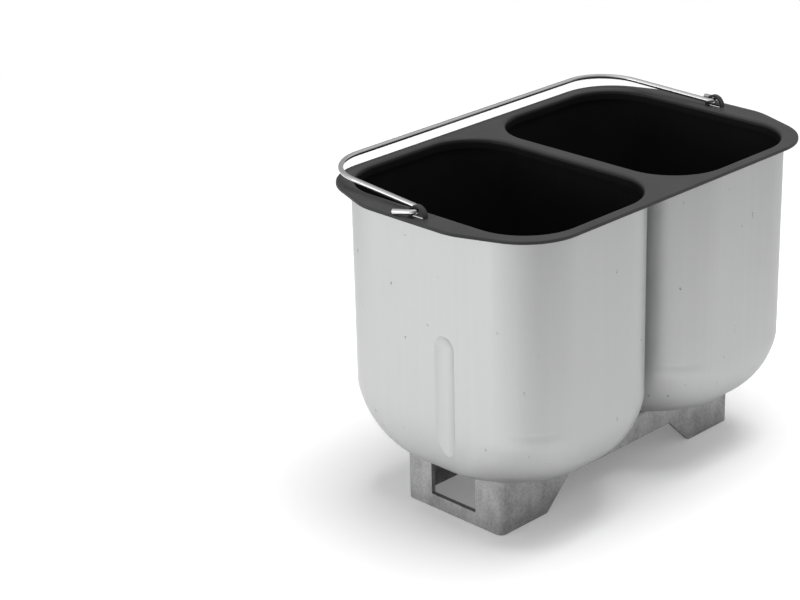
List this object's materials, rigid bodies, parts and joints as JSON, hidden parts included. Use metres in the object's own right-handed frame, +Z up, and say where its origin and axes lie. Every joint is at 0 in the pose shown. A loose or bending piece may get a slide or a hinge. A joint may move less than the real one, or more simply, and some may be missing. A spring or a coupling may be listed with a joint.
{
  "type": "twin-loaf bread maker baking pan",
  "caption": "Removable bread maker pan: deep-drawn baking cups in a coated rim frame with a wire bail, cast foot bracket, sealed drive shafts and kneading paddles.",
  "frame": {"origin": "on the floor under the feet, at the centre of the pan's plan outline", "axes": "+X along the row of cups from the front end to the rear end, +Y across towards the side where the bail rests, +Z up"},
  "size_m": [0.2762, 0.169, 0.2037],
  "materials": {
    "dark_coated_rim": "dark grey satin non-stick coat on pressed steel",
    "bright_wire": "bright plated steel wire",
    "cast_base": "mottled grey die-cast aluminium",
    "satin_cup": "satin deep-drawn aluminium, black non-stick coat inside",
    "steel": "turned stainless steel",
    "sintered_bronze": "oil-filled sintered bronze",
    "seal_rubber": "black heat-proof silicone",
    "stainless_trim": "pressed stainless steel",
    "cast_coupling": "die-cast",
    "coated_paddle": "black non-stick coat on cast aluminium",
    "rivet_aluminium": "plain aluminium"
  },
  "bodies": {
    "pan": {"rim_frame": "dark_coated_rim", "base_bracket": "cast_base", "front_cup": "satin_cup", "front_upper_bush": "sintered_bronze", "front_lower_bush": "sintered_bronze", "front_shaft_seal": "seal_rubber", "front_seal_cap": "stainless_trim", "front_cup_gasket": "seal_rubber", "front_cup_rivets": "rivet_aluminium", "rear_cup": "satin_cup", "rear_upper_bush": "sintered_bronze", "rear_lower_bush": "sintered_bronze", "rear_shaft_seal": "seal_rubber", "rear_seal_cap": "stainless_trim", "rear_cup_gasket": "seal_rubber", "rear_cup_rivets": "rivet_aluminium"},
    "bail": {"bail_handle": "bright_wire"},
    "front_drive": {"front_drive_shaft": "steel", "front_circlip": "steel", "front_thrust_washer": "steel", "front_drive_coupling": "cast_coupling", "front_coupling_pin": "steel"},
    "front_paddle": {"front_kneading_paddle": "coated_paddle"},
    "rear_drive": {"rear_drive_shaft": "steel", "rear_circlip": "steel", "rear_thrust_washer": "steel", "rear_drive_coupling": "cast_coupling", "rear_coupling_pin": "steel"},
    "rear_paddle": {"rear_kneading_paddle": "coated_paddle"}
  },
  "joints": [
    {"name": "bail_swing", "type": "hinge", "parent": "pan", "child": "bail", "pos_m": [0, -0.0032, 0.1983], "axis": [1, 0, 0], "range_deg": [0, 175]},
    {"name": "front_shaft_spin", "type": "hinge", "parent": "pan", "child": "front_drive", "pos_m": [-0.0632, 0, 0.03], "axis": [0, 0, 1], "continuous": true},
    {"name": "front_paddle_lift", "type": "slide", "parent": "front_drive", "child": "front_paddle", "axis": [0, 0, 1], "range_m": [0, 0.03]},
    {"name": "rear_shaft_spin", "type": "hinge", "parent": "pan", "child": "rear_drive", "pos_m": [0.0632, 0, 0.03], "axis": [0, 0, 1], "continuous": true},
    {"name": "rear_paddle_lift", "type": "slide", "parent": "rear_drive", "child": "rear_paddle", "axis": [0, 0, 1], "range_m": [0, 0.03]}
  ]
}
